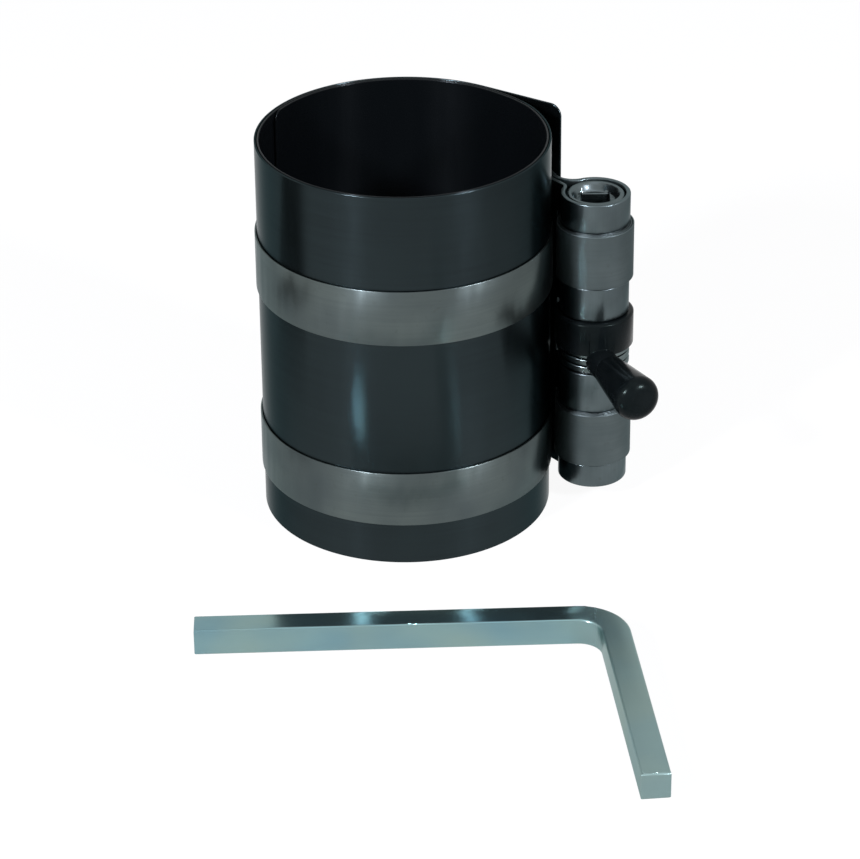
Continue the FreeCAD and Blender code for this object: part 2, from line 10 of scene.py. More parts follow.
# %% Load the measured frame
import json
import math

import bmesh
import bpy
from mathutils import Matrix, Vector
from mathutils.bvhtree import BVHTree


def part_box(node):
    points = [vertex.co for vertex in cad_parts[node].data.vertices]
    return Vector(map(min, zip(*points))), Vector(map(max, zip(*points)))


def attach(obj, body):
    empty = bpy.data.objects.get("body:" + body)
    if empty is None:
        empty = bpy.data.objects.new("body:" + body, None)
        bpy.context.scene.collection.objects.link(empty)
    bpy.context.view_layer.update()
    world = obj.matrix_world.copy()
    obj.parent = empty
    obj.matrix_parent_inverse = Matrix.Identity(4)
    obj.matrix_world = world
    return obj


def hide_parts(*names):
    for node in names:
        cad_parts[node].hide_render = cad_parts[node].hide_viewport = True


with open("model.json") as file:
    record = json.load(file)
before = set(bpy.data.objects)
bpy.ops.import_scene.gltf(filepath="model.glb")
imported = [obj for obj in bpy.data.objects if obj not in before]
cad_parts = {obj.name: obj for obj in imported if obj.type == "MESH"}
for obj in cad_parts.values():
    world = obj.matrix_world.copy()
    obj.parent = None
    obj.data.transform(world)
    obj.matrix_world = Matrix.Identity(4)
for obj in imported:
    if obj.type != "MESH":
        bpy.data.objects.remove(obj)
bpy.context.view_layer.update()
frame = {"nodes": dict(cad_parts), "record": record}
MM = 0.001
scene = bpy.context.scene
print("pieces in the frame:", ", ".join(sorted(frame["nodes"])))

# %% [markdown]
# The camera
#
# The photograph was taken from well back with a long lens, looking down at a little under thirty
# degrees. A long lens keeps the sleeve's sides almost parallel. The picture is turned by about half
# a degree, and the camera is turned with it. A camera can be set by eye, but this one was fitted to
# points on the rims, the bands, the spindle and the key, which leaves less to guess. It comes
# first, because each finish is judged through it.

# %% Place the camera
LENS_MM = 151.54
SENSOR_MM = 36.0
NEAREST_SEEN = 10 * MM
FARTHEST_SEEN = 20.0
CAMERA_DISTANCE = 728.34 * MM
CAMERA_ELEVATION = math.radians(28.78)
CAMERA_ROLL = math.radians(-0.59)
SLEEVE_MIDDLE = Vector((0, 0, 40 * MM))
AIM_RIGHT = 4.77 * MM
AIM_UP = -22.6 * MM

lens = bpy.data.cameras.new("camera")
lens.lens = LENS_MM
lens.sensor_width = SENSOR_MM
lens.clip_start = NEAREST_SEEN
lens.clip_end = FARTHEST_SEEN
camera = bpy.data.objects.new("camera", lens)
scene.collection.objects.link(camera)
scene.camera = camera
level_right = Vector((1, 0, 0))
backwards = Vector((0, -math.cos(CAMERA_ELEVATION), math.sin(CAMERA_ELEVATION)))
level_up = backwards.cross(level_right)
turned_right = level_right * math.cos(CAMERA_ROLL) + level_up * math.sin(CAMERA_ROLL)
turned_up = level_up * math.cos(CAMERA_ROLL) - level_right * math.sin(CAMERA_ROLL)
axes = Matrix((turned_right, turned_up, backwards)).transposed()
place = (SLEEVE_MIDDLE + backwards * CAMERA_DISTANCE + level_right * AIM_RIGHT
         + level_up * AIM_UP)
camera.matrix_world = Matrix.Translation(place) @ axes.to_4x4()
print("camera stands at", [round(value / MM) for value in place], "mm")

# %% [markdown]
# Helpers for materials
#
# Colours are written as the hex codes that a painter's program shows, and one function turns them
# to the linear values that light works with. A second small function adds a node to a tree with its
# settings and its links, so that each material below reads as a list of what it is made of. The
# others are short recipes that all the finishes share: a soft random pattern, a colour that lies
# over another, and the last step that hands a shader its colour, gloss and relief.

# %% Colour, node and finish helpers
def colour(code):
    """The linear colour of an sRGB hex code."""
    channels = [int(code[place:place + 2], 16) / 255 for place in (1, 3, 5)]
    linear = [c / 12.92 if c <= 0.04045 else ((c + 0.055) / 1.055) ** 2.4 for c in channels]
    return (*linear, 1.0)


def add_node(tree, kind, inputs=(), **settings):
    """Add a node. Each input is a socket's name or number with a value, a node or an output."""
    node = tree.nodes.new(kind)
    for name, value in settings.items():
        setattr(node, name, value)
    for socket, value in inputs:
        if isinstance(value, bpy.types.Node):
            value = value.outputs[0]
        if isinstance(value, bpy.types.NodeSocket):
            tree.links.new(value, node.inputs[socket])
        else:
            node.inputs[socket].default_value = value
    return node


def new_material(name, **uniform):
    """A material with a shader whose uniform values are set, and the piece's own coordinates."""
    material = bpy.data.materials.new(name)
    material.use_nodes = True
    tree = material.node_tree
    shader = next(node for node in tree.nodes if node.type == "BSDF_PRINCIPLED")
    for socket, value in uniform.items():
        shader.inputs[socket.replace("_", " ")].default_value = value
    coordinates = add_node(tree, "ShaderNodeTexCoord").outputs["Object"]
    return material, tree, shader, coordinates


def speckle(tree, coordinates, size_mm, stretch=(1, 1, 1), detail=3.0, low=0.35, high=0.65):
    """A soft random pattern from 0 to 1 with patches of a real size, stretched along some axes."""
    spread = [1 / (size_mm * MM * factor) for factor in stretch]
    mapped = add_node(tree, "ShaderNodeMapping", [("Vector", coordinates), ("Scale", spread)])
    noise = add_node(tree, "ShaderNodeTexNoise", [
        ("Vector", mapped), ("Scale", 1.0), ("Detail", detail)])
    levels = add_node(tree, "ShaderNodeMapRange", [
        ("Value", noise.outputs["Fac"]), ("From Min", low), ("From Max", high)])
    return levels.outputs["Result"]


# The mix node has a set of sockets for each kind of data. These are its sockets for colours.
UNDER_SOCKET, OVER_SOCKET, MIXED_OUTPUT = 6, 7, 2


def lay_over(tree, pattern, under, over, share=1.0):
    """A colour that covers another up to a share where a pattern is high. Both may be codes."""
    cover = add_node(tree, "ShaderNodeMapRange", [("Value", pattern), ("To Max", share)])
    lower, upper = [colour(paint) if isinstance(paint, str) else paint for paint in (under, over)]
    mixed = add_node(tree, "ShaderNodeMix", [
        ("Factor", cover), (UNDER_SOCKET, lower), (OVER_SOCKET, upper)], data_type="RGBA")
    return mixed.outputs[MIXED_OUTPUT]


def finish(tree, shader, paint, gloss, reliefs):
    """Hand the shader its colour, a roughness that follows a pattern, and its relief.

    The gloss is a pattern with the roughness where it is low and where it is high. Each relief is
    a pattern with its real depth in mm and its strength, and lies on the one before it.
    """
    pattern, smoothest, roughest = gloss
    roughness = add_node(tree, "ShaderNodeMapRange", [
        ("Value", pattern), ("To Min", smoothest), ("To Max", roughest)])
    below = []
    for height, depth_mm, strength in reliefs:
        relief = add_node(tree, "ShaderNodeBump", [
            ("Height", height), ("Distance", depth_mm * MM), ("Strength", strength), *below])
        below = [("Normal", relief)]
    tree.links.new(paint, shader.inputs["Base Color"])
    tree.links.new(roughness.outputs["Result"], shader.inputs["Roughness"])
    tree.links.new(relief.outputs["Normal"], shader.inputs["Normal"])


print("the middle grey #808080 is %.3f in linear light" % colour("#808080")[0])

# %% [markdown]
# Finish 1: blued spring steel
#
# Spring steel is blued by heating it in air or in a salt bath until a thin dark oxide grows on it.
# The oxide takes the colour of the metal down to a blue-black and dulls its shine, so the surface
# is a metal with a very dark base colour and a soft gloss. The tint at glancing angles keeps the
# sides of the round as dark as its front, as an oxide does.
#
# Rolling leaves faint lines that run round the sleeve. They smear each reflection up and down, so a
# lamp shows as a long upright streak. Such a streak could be painted on, but it would stay put when
# the tool turns. An anisotropic gloss, with its direction taken round the axis, makes it move as it
# does on the real sheet. The real lines are a few hundredths of a millimetre apart, too fine to
# show in a picture, so they are drawn half a millimetre apart. Handling leaves upright smears of a
# slightly different gloss. The layers inside the outermost one lie in the hollow of the sleeve, and
# there the colour goes down to nearly black as painted shade, and the surface is only half a metal.

# %% Blued spring steel
QUARTER_TURN_SHARE = 0.25
INNER_LAYERS_END = 28.7 * MM
OUTER_LAYER_START = 28.75 * MM
LEVEL_AXES = (1, 1, 0)
METAL_INSIDE, METAL_OUTSIDE = 0.5, 1.0


def smear_upright(tree, shader, amount):
    """Stretch the gloss up and down, as fine lines that run round a piece do."""
    shader.inputs["Anisotropic"].default_value = amount
    shader.inputs["Anisotropic Rotation"].default_value = QUARTER_TURN_SHARE
    round_the_axis = add_node(tree, "ShaderNodeTangent", direction_type="RADIAL", axis="Z")
    tree.links.new(round_the_axis.outputs["Tangent"], shader.inputs["Tangent"])


def blued_spring_steel():
    material, tree, shader, coordinates = new_material(
        "blued_spring_steel", Specular_IOR_Level=0.25, Specular_Tint=colour("#b9bfc0"))
    smear_upright(tree, shader, 0.8)
    clouds = speckle(tree, coordinates, 18.0, stretch=(1, 1, 1.6), detail=2.0)
    lines = speckle(tree, coordinates, 0.5, stretch=(60, 60, 1), detail=2.0)
    smears = speckle(tree, coordinates, 4.0, stretch=(1, 1, 6))
    level_part = add_node(tree, "ShaderNodeVectorMath", [(0, coordinates), (1, LEVEL_AXES)],
                          operation="MULTIPLY")
    from_axis = add_node(tree, "ShaderNodeVectorMath", [(0, level_part)], operation="LENGTH")
    outside = add_node(tree, "ShaderNodeMapRange", [
        ("Value", from_axis.outputs["Value"]), ("From Min", INNER_LAYERS_END),
        ("From Max", OUTER_LAYER_START)])
    metal = add_node(tree, "ShaderNodeMapRange", [
        ("Value", outside), ("To Min", METAL_INSIDE), ("To Max", METAL_OUTSIDE)])
    tree.links.new(metal.outputs["Result"], shader.inputs["Metallic"])
    deep = lay_over(tree, clouds, "#262d2f", "#293133")
    lined = lay_over(tree, lines, deep, "#2b3436", share=0.4)
    # Inside the hollow the colour is painted nearly black, a painted shade.
    hollow_painted_dark = lay_over(tree, outside, "#0a0d0f", lined)
    finish(tree, shader, hollow_painted_dark, gloss=(smears, 0.23, 0.27),
           reliefs=[(clouds, 0.04, 0.1), (lines, 0.002, 0.1)])
    return material


blued_sheet = blued_spring_steel()
print("made", blued_sheet.name)

# %% [markdown]
# Finish 2: bare steels
#
# The bands, the bracket and the spindle are bare steel with a film of oil. Rolled band steel is
# satin and carries long fine lines, which smear its reflections up and down as on the sleeve. The
# ends that are wound on the spindle have rubbed on each other, so they are duller. The bracket was
# pressed and bent from strip, which leaves upright draw marks. The spindle was turned on a lathe,
# so its marks are rings, and so are those of the spring's drawn wire.
#
# Each piece could have a material written out for it alone. One recipe serves them all instead,
# because they differ only in a few values: a grey metal, fine lines that run the way the tool went,
# cloudy stains and dark spots of oil. The real marks are a tenth of a millimetre apart or less, so
# they are drawn two to four times as coarse, to show at all.

# %% Bare steels
OIL_STAIN = "#454b48"
# How far the fine lines are drawn out along x, y and z.
BAND_LINES = (50, 50, 1)
DRAW_MARKS = (1, 1, 40)
RINGS = (30, 30, 1)
NO_LINES = (1, 1, 1)


def worked_steel(name, light, dark, run, line_mm, gloss, cloud_mm=6.0, smear=0.0):
    """Bare steel between two greys, with fine lines of a width and clouds of a size."""
    material, tree, shader, coordinates = new_material(
        name, Metallic=1.0, Specular_Tint=colour("#c4cccd"))
    if smear > 0:
        smear_upright(tree, shader, smear)
    lines = speckle(tree, coordinates, line_mm, stretch=run, low=0.3, high=0.7)
    clouds = speckle(tree, coordinates, cloud_mm, detail=2.0, low=0.25, high=0.75)
    spots = speckle(tree, coordinates, 1.1, detail=2.0, low=0.62, high=0.8)
    body = lay_over(tree, clouds, light, dark)
    lined = lay_over(tree, lines, body, dark, share=0.35)
    stained = lay_over(tree, spots, lined, OIL_STAIN, share=0.35)
    finish(tree, shader, stained, gloss=(clouds, *gloss),
           reliefs=[(clouds, 0.03, 0.1), (lines, 0.004, 0.3)])
    return material


band_steel = worked_steel(
    "cold_rolled_band_steel", "#5f6866", "#495152", BAND_LINES, line_mm=0.4, gloss=(0.28, 0.33),
    cloud_mm=14.0, smear=0.68)
roll_steel = worked_steel(
    "wound_band_end_steel", "#586162", "#485152", BAND_LINES, line_mm=0.4, gloss=(0.44, 0.50),
    cloud_mm=8.0)
bracket_steel = worked_steel(
    "bent_strip_steel", "#5d686a", "#4f585a", DRAW_MARKS, line_mm=0.3, gloss=(0.28, 0.34))
turned_steel = worked_steel(
    "turned_bright_steel", "#646d6f", "#50595b", RINGS, line_mm=0.25, gloss=(0.2, 0.3))
spring_wire = worked_steel(
    "drawn_spring_wire", "#727c7c", "#5a6363", RINGS, line_mm=0.2, gloss=(0.22, 0.3))
rivet_steel = worked_steel(
    "upset_rivet_steel", "#6b7577", "#545d5f", NO_LINES, line_mm=0.4, gloss=(0.30, 0.42))
print("made six bare steels")

# %% [markdown]
# Finish 3: black mouldings
#
# The collar and its lever's knob are moulded in a hard black plastic. A flat black would look like
# a hole in the picture. A plastic is dark inside and has a clear skin of reflection on top, so it
# is made as a dark body that isn't a metal, with such a skin. Here the skin is a weak one, because
# fine grain from the mould scatters most of it, and the lamps still show on it as small hard
# lights. The real grain is about a twentieth of a millimetre, and it is drawn at a quarter of one.

# %% Moulded black plastic
def moulded_black():
    material, tree, shader, coordinates = new_material(
        "moulded_black_plastic", IOR=1.5, Specular_IOR_Level=0.07,
        Specular_Tint=colour("#cfe8e0"))
    grain = speckle(tree, coordinates, 0.25, detail=2.0)
    clouds = speckle(tree, coordinates, 4.0)
    body = lay_over(tree, clouds, "#06090a", "#0a0d0e")
    finish(tree, shader, body, gloss=(clouds, 0.19, 0.26), reliefs=[(grain, 0.003, 0.2)])
    return material


black_moulding = moulded_black()
print("made", black_moulding.name)

# %% [markdown]
# Finish 4: zinc plate
#
# The key is a length of square steel bar, bent cold and zinc plated. The plating is a soft bright
# grey with a pale green-blue cast from its passivation, and it follows the drawn bar's long lines.
# On the short arm it is duller and greener. Two materials would leave a hard border at the bend, so
# one material fades from the long arm's look to the short arm's along x, and its drawn lines turn
# with the bar. They are drawn about three times as coarse as the real ones, so that they show.

# %% Zinc plate
BEND_START = 31 * MM
BEND_END = 38 * MM
LONG_ARM_LINES = (40, 1, 1)
SHORT_ARM_LINES = (1, 40, 1)


def zinc_plate():
    material, tree, shader, coordinates = new_material(
        "passivated_zinc_plate", Metallic=0.95, Specular_Tint=colour("#dfe6e4"))
    clouds = speckle(tree, coordinates, 9.0, stretch=(2.5, 1, 1))
    cast = speckle(tree, coordinates, 14.0, detail=1.0)
    long_lines = speckle(tree, coordinates, 0.35, stretch=LONG_ARM_LINES)
    short_lines = speckle(tree, coordinates, 0.35, stretch=SHORT_ARM_LINES)
    across = add_node(tree, "ShaderNodeSeparateXYZ", [("Vector", coordinates)])
    on_short_arm = add_node(tree, "ShaderNodeMapRange", [
        ("Value", across.outputs["X"]), ("From Min", BEND_START), ("From Max", BEND_END)])
    drawn = add_node(tree, "ShaderNodeMix", [
        ("Factor", on_short_arm), ("A", long_lines), ("B", short_lines)])
    cool = lay_over(tree, clouds, "#7a999c", "#6e8e96")
    passivated = lay_over(tree, cast, cool, "#859b94", share=0.7)
    both_arms = lay_over(tree, on_short_arm, passivated, "#7f918d", share=0.6)
    finish(tree, shader, both_arms, gloss=(on_short_arm, 0.14, 0.32),
           reliefs=[(cast, 0.2, 0.1), (drawn, 0.005, 0.25)])
    return material


zinc = zinc_plate()
print("made", zinc.name)

# %% [markdown]
# From a modifier to a plain piece
#
# Every piece ends as a plain mesh that stands for one measured piece, moves with the same body and
# carries its material. A real edge is always a little broken, and that tiny round catches a bright
# line of light. A shader can fake such a round, but it is lost when the shape is used without it,
# so a narrow bevel runs along every edge that turns by more than an angle. Its hardened normals keep
# the flat faces beside it flat to the eye.

# %% Round, apply and place a piece
EDGE_ANGLE = math.radians(32)
behaviour = frame["record"]["behaviour"]
BODY_OF = {node: body for body, nodes in behaviour["bodies"].items() for node in nodes}


def round_edges(piece, edge_mm, segments):
    """Lay a narrow round along the sharp edges of a piece."""
    bevel = piece.modifiers.new("edges", "BEVEL")
    bevel.width = edge_mm * MM
    bevel.segments = segments
    bevel.limit_method = "ANGLE"
    bevel.angle_limit = EDGE_ANGLE
    bevel.harden_normals = True
    bevel.use_clamp_overlap = False
    bevel.miter_outer = "MITER_ARC"


def stand_for(piece, node):
    """Make the piece a plain mesh that stands for a measured piece, and say how far it departs."""
    shown = piece.evaluated_get(bpy.context.evaluated_depsgraph_get())
    mesh = bpy.data.meshes.new_from_object(shown)
    piece.modifiers.clear()
    piece.data = mesh
    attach(piece, BODY_OF[node])
    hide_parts(node)
    solid = frame["nodes"][node].data
    faces = [face.vertices for face in solid.polygons]
    measured = BVHTree.FromPolygons([vertex.co for vertex in solid.vertices], faces)
    apart = max(measured.find_nearest(vertex.co)[3] for vertex in mesh.vertices)
    print("%-20s %6d faces, at most %.2f mm off" % (piece.name, len(mesh.polygons), apart / MM))


# %% [markdown]
# Pieces that follow a rule
#
# Geometry Nodes can grow a shape from a few named sizes. Each tree below has those sizes as inputs,
# and ends by making its copies real and giving them their material. One function starts a tree, one
# ends it, and one lets a new piece grow from it.

# %% Start, end and use a tree
FULL_TURN = 2 * math.pi
SPINDLE_X = next(joint["pos_m"][0] for joint in behaviour["joints"]
                 if joint["name"] == "spindle_turn")


def start_tree(name, sizes):
    """A new tree with a material and named sizes as its inputs, and what they hand to its nodes."""
    tree = bpy.data.node_groups.new(name, "GeometryNodeTree")
    tree.interface.new_socket("Shape", in_out="OUTPUT", socket_type="NodeSocketGeometry")
    tree.interface.new_socket("Material", in_out="INPUT", socket_type="NodeSocketMaterial")
    for size in sizes:
        tree.interface.new_socket(size, in_out="INPUT", socket_type="NodeSocketFloat")
    return tree, add_node(tree, "NodeGroupInput").outputs


def end_tree(tree, shape, given):
    """Smooth the shape, make its copies real, paint it and hand it out."""
    smooth = add_node(tree, "GeometryNodeSetShadeSmooth", [("Geometry", shape)])
    real = add_node(tree, "GeometryNodeRealizeInstances", [("Geometry", smooth)])
    painted = add_node(tree, "GeometryNodeSetMaterial", [
        ("Geometry", real), ("Material", given["Material"])])
    add_node(tree, "NodeGroupOutput", [("Shape", painted)])


def grow(name, tree, material, sizes):
    """A new piece that a tree shapes from these sizes."""
    piece = bpy.data.objects.new(name, bpy.data.meshes.new(name))
    scene.collection.objects.link(piece)
    shape = piece.modifiers.new("shape", "NODES")
    shape.node_group = tree
    values = dict(sizes, Material=material)
    for item in tree.interface.items_tree:
        if item.in_out == "INPUT":
            shape[item.identifier] = values[item.name]
    return piece


print("the spindle's axis stands %.1f mm from the sleeve's" % (SPINDLE_X / MM))

# %% [markdown]
# The wound sheets
#
# The sleeve is one long sheet, wound two and a quarter times on itself, and each band is wound four
# times on the spindle. Both follow one rule. Along its length the sheet is first a straight tail,
# then an arc whose radius stays full for most of a turn and steps in by one layer before the turn
# closes, and at last a tongue that folds inwards. The spiral primitive can't step in like that,
# because its radius shrinks evenly. So the tree places points along the sheet's way, one after
# another by their number, and sweeps the sheet's section over them. Near the ends it draws the
# section in, which rounds the sheet's corners.

# %% Grow a wound sheet
WOUND_SIZES = ("Points", "Tail", "Tongue", "Start Angle", "Sweep", "Sense", "Radius", "Pitch",
               "Step End", "Step Share", "Sheet", "Height", "Corner", "Axis", "Level")


def wound_sheet_tree():
    tree, given = start_tree("wound_sheet", WOUND_SIZES)
    # How far along the sheet each point lies.
    arc = add_node(tree, "ShaderNodeMath", [
        (0, given["Sweep"]), (1, given["Radius"])], operation="MULTIPLY")
    rolled = add_node(tree, "ShaderNodeMath", [(0, given["Tail"]), (1, arc)], operation="ADD")
    length = add_node(tree, "ShaderNodeMath", [
        (0, rolled), (1, given["Tongue"])], operation="ADD")
    gaps = add_node(tree, "ShaderNodeMath", [
        (0, given["Points"]), (1, 1.0)], operation="SUBTRACT")
    number = add_node(tree, "GeometryNodeInputIndex")
    share = add_node(tree, "ShaderNodeMath", [(0, number), (1, gaps)], operation="DIVIDE")
    along = add_node(tree, "ShaderNodeMath", [(0, share), (1, length)], operation="MULTIPLY")
    # What is left of the tail, and what is already past the arc.
    on_tail = add_node(tree, "ShaderNodeMath", [
        (0, given["Tail"]), (1, along)], operation="SUBTRACT")
    aside = add_node(tree, "ShaderNodeMath", [(0, on_tail), (1, 0.0)], operation="MAXIMUM")
    past = add_node(tree, "ShaderNodeMath", [(0, along), (1, rolled)], operation="SUBTRACT")
    folded = add_node(tree, "ShaderNodeMath", [(0, past), (1, 0.0)], operation="MAXIMUM")
    # The angle that the arc has turned, and the layers that it has stepped in.
    on_arc = add_node(tree, "ShaderNodeMapRange", [
        ("Value", along), ("From Min", given["Tail"]), ("From Max", rolled),
        ("To Max", given["Sweep"])])
    angle = add_node(tree, "ShaderNodeMath", [
        (0, on_arc), (1, given["Start Angle"])], operation="ADD")
    stepped = add_node(tree, "ShaderNodeMath", [
        (0, angle), (1, given["Step End"])], operation="SUBTRACT")
    turns = add_node(tree, "ShaderNodeMath", [(0, stepped), (1, FULL_TURN)], operation="DIVIDE")
    layers = add_node(tree, "ShaderNodeMath", [(0, turns)], operation="FLOOR")
    rest = add_node(tree, "ShaderNodeMath", [(0, turns), (1, layers)], operation="SUBTRACT")
    before = add_node(tree, "ShaderNodeMath", [
        (0, 1.0), (1, given["Step Share"])], operation="SUBTRACT")
    step = add_node(tree, "ShaderNodeMapRange", [
        ("Value", rest), ("From Min", before), ("From Max", 1.0)])
    inwards = add_node(tree, "ShaderNodeMath", [(0, layers), (1, step)], operation="ADD")
    fall = add_node(tree, "ShaderNodeMath", [
        (0, inwards), (1, given["Pitch"])], operation="MULTIPLY")
    drop = add_node(tree, "ShaderNodeMath", [(0, fall), (1, folded)], operation="ADD")
    radius = add_node(tree, "ShaderNodeMath", [
        (0, given["Radius"]), (1, drop)], operation="SUBTRACT")
    # The point, turned about the axis and moved to it.
    other_way = add_node(tree, "ShaderNodeMath", [
        (0, given["Sense"]), (1, -1.0)], operation="MULTIPLY")
    trailing = add_node(tree, "ShaderNodeMath", [
        (0, aside), (1, other_way)], operation="MULTIPLY")
    turned_by = add_node(tree, "ShaderNodeMath", [
        (0, angle), (1, given["Sense"])], operation="MULTIPLY")
    flat = add_node(tree, "ShaderNodeCombineXYZ", [("X", radius), ("Y", trailing)])
    wound = add_node(tree, "ShaderNodeVectorRotate", [("Vector", flat), ("Angle", turned_by)],
                     rotation_type="Z_AXIS")
    centre = add_node(tree, "ShaderNodeCombineXYZ", [
        ("X", given["Axis"]), ("Z", given["Level"])])
    place = add_node(tree, "ShaderNodeVectorMath", [(0, wound), (1, centre)], operation="ADD")
    # How much of its full height the section has, so that the ends have round corners.
    to_end = add_node(tree, "ShaderNodeMath", [(0, length), (1, along)], operation="SUBTRACT")
    from_end = add_node(tree, "ShaderNodeMath", [(0, along), (1, to_end)], operation="MINIMUM")
    near = add_node(tree, "ShaderNodeMapRange", [
        ("Value", from_end), ("From Max", given["Corner"]), ("To Min", 1.0), ("To Max", 0.0)])
    square = add_node(tree, "ShaderNodeMath", [(0, near), (1, near)], operation="MULTIPLY")
    left = add_node(tree, "ShaderNodeMath", [(0, 1.0), (1, square)], operation="SUBTRACT")
    root = add_node(tree, "ShaderNodeMath", [(0, left)], operation="SQRT")
    lost = add_node(tree, "ShaderNodeMath", [(0, 1.0), (1, root)], operation="SUBTRACT")
    corner_share = add_node(tree, "ShaderNodeMath", [
        (0, given["Corner"]), (1, given["Height"])], operation="DIVIDE")
    both_corners = add_node(tree, "ShaderNodeMath", [
        (0, corner_share), (1, -2.0)], operation="MULTIPLY")
    section_scale = add_node(tree, "ShaderNodeMath", [
        (0, lost), (1, both_corners), (2, 1.0)], operation="MULTIPLY_ADD")
    # The way and the section swept along it.
    count = add_node(tree, "FunctionNodeFloatToInt", [(0, given["Points"])])
    line = add_node(tree, "GeometryNodeMeshLine", [("Count", count)])
    moved = add_node(tree, "GeometryNodeSetPosition", [("Geometry", line), ("Position", place)])
    way = add_node(tree, "GeometryNodeMeshToCurve", [("Mesh", moved)])
    upright = add_node(tree, "GeometryNodeSetCurveNormal", [("Curve", way)], mode="Z_UP")
    section = add_node(tree, "GeometryNodeCurvePrimitiveQuadrilateral", [
        ("Width", given["Sheet"]), ("Height", given["Height"])])
    sheet = add_node(tree, "GeometryNodeCurveToMesh", [
        ("Curve", upright), ("Profile Curve", section), ("Scale", section_scale),
        ("Fill Caps", True)])
    end_tree(tree, sheet, given)
    return tree


wound_sheet = wound_sheet_tree()
print("the wound sheet's tree has", len(wound_sheet.nodes), "nodes")

# %% [markdown]
# The sleeve
#
# The sheet's outer end leaves the round towards the spindle as a straight tail, behind the bracket.
# The sleeve's radius and height could be written down, but they are read from the measured piece,
# so that they can't drift from it. The angles say where the tail leaves the round, where each turn
# steps in and how far the sheet is wound.

# %% The sleeve
POINT_SPACING = 0.25 * MM
SHEET_EDGE_MM, SHEET_SEGMENTS = 0.16, 3
RUN_ANGLE = math.radians(56.05)
SLEEVE_SHEET = 0.4 * MM
SLEEVE_TAIL = 18.6 * MM
SLEEVE_STEP_START = math.radians(28.03)
SLEEVE_STEP = math.radians(18)
SLEEVE_END_ANGLE = math.radians(156 + 720)
sleeve_low, sleeve_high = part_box("sleeve")
sleeve_radius = -sleeve_low[0] - SLEEVE_SHEET / 2
sleeve_sweep = SLEEVE_END_ANGLE - RUN_ANGLE
sleeve_sizes = {
    "Points": (SLEEVE_TAIL + sleeve_sweep * sleeve_radius) / POINT_SPACING,
    "Tail": SLEEVE_TAIL,
    "Tongue": 0.0,
    "Start Angle": RUN_ANGLE,
    "Sweep": sleeve_sweep,
    "Sense": 1.0,
    "Radius": sleeve_radius,
    "Pitch": 0.55 * MM,
    "Step End": SLEEVE_STEP_START + SLEEVE_STEP,
    "Step Share": SLEEVE_STEP / FULL_TURN,
    "Sheet": SLEEVE_SHEET,
    "Height": sleeve_high[2] - sleeve_low[2],
    "Corner": 2.5 * MM,
    "Axis": 0.0,
    "Level": (sleeve_high[2] + sleeve_low[2]) / 2,
}
sleeve = grow("rolled_sleeve", wound_sheet, blued_sheet, sleeve_sizes)
round_edges(sleeve, SHEET_EDGE_MM, SHEET_SEGMENTS)
stand_for(sleeve, "sleeve")

# %% [markdown]
# The wound bands
#
# The same tree winds the free end of each band on the spindle, the other way round and with a
# tongue that is hooked into the spindle's slot. Plain rings would do from afar, but the spiral
# shows at their edges, where the bracket's windows leave them open.

# %% The two rolls of band
BAND_SHEET = 0.4 * MM
ROLL_TURNS = 4
ROLL_STEP = math.radians(40)
for node, name in (("lower_band_coil", "lower_band_roll"), ("upper_band_coil", "upper_band_roll")):
    roll_low, roll_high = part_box(node)
    roll_radius = roll_high[0] - SPINDLE_X - BAND_SHEET / 2
    roll_sweep = ROLL_TURNS * FULL_TURN
    roll_sizes = {
        "Points": roll_sweep * roll_radius / POINT_SPACING,
        "Tail": 0.0,
        "Tongue": 1.3 * MM,
        "Start Angle": -RUN_ANGLE,
        "Sweep": roll_sweep,
        "Sense": -1.0,
        "Radius": roll_radius,
        "Pitch": 0.45 * MM,
        "Step End": -RUN_ANGLE,
        "Step Share": ROLL_STEP / FULL_TURN,
        "Sheet": BAND_SHEET,
        "Height": roll_high[2] - roll_low[2],
        "Corner": 0.01 * MM,
        "Axis": SPINDLE_X,
        "Level": (roll_high[2] + roll_low[2]) / 2,
    }
    roll = grow(name, wound_sheet, roll_steel, roll_sizes)
    round_edges(roll, SHEET_EDGE_MM, SHEET_SEGMENTS)
    stand_for(roll, node)

# %% [markdown]
# The clutch spring
#
# A coil of flat wire grips the spindle, so that it can turn one way only. The screw modifier could
# turn a section into such a coil too. The spiral primitive is chosen because its turns, radius and
# rise are plain inputs, and the wire's section is swept along it.

# %% The clutch spring
SPRING_SIZES = ("Turns", "Radius", "Rise", "Wire Depth", "Wire Height", "Axis", "Level")
POINTS_PER_TURN = 72


def spring_tree():
    tree, given = start_tree("clutch_spring", SPRING_SIZES)
    helix = add_node(tree, "GeometryNodeCurveSpiral", [
        ("Resolution", POINTS_PER_TURN), ("Rotations", given["Turns"]),
        ("Start Radius", given["Radius"]), ("End Radius", given["Radius"]),
        ("Height", given["Rise"]), ("Reverse", False)])
    upright = add_node(tree, "GeometryNodeSetCurveNormal", [("Curve", helix)], mode="Z_UP")
    wire = add_node(tree, "GeometryNodeCurvePrimitiveQuadrilateral", [
        ("Width", given["Wire Depth"]), ("Height", given["Wire Height"])])
    coil = add_node(tree, "GeometryNodeCurveToMesh", [
        ("Curve", upright), ("Profile Curve", wire), ("Fill Caps", True)])
    foot = add_node(tree, "ShaderNodeCombineXYZ", [("X", given["Axis"]), ("Z", given["Level"])])
    placed = add_node(tree, "GeometryNodeTransform", [
        ("Geometry", coil), ("Translation", foot)])
    end_tree(tree, placed, given)
    return tree


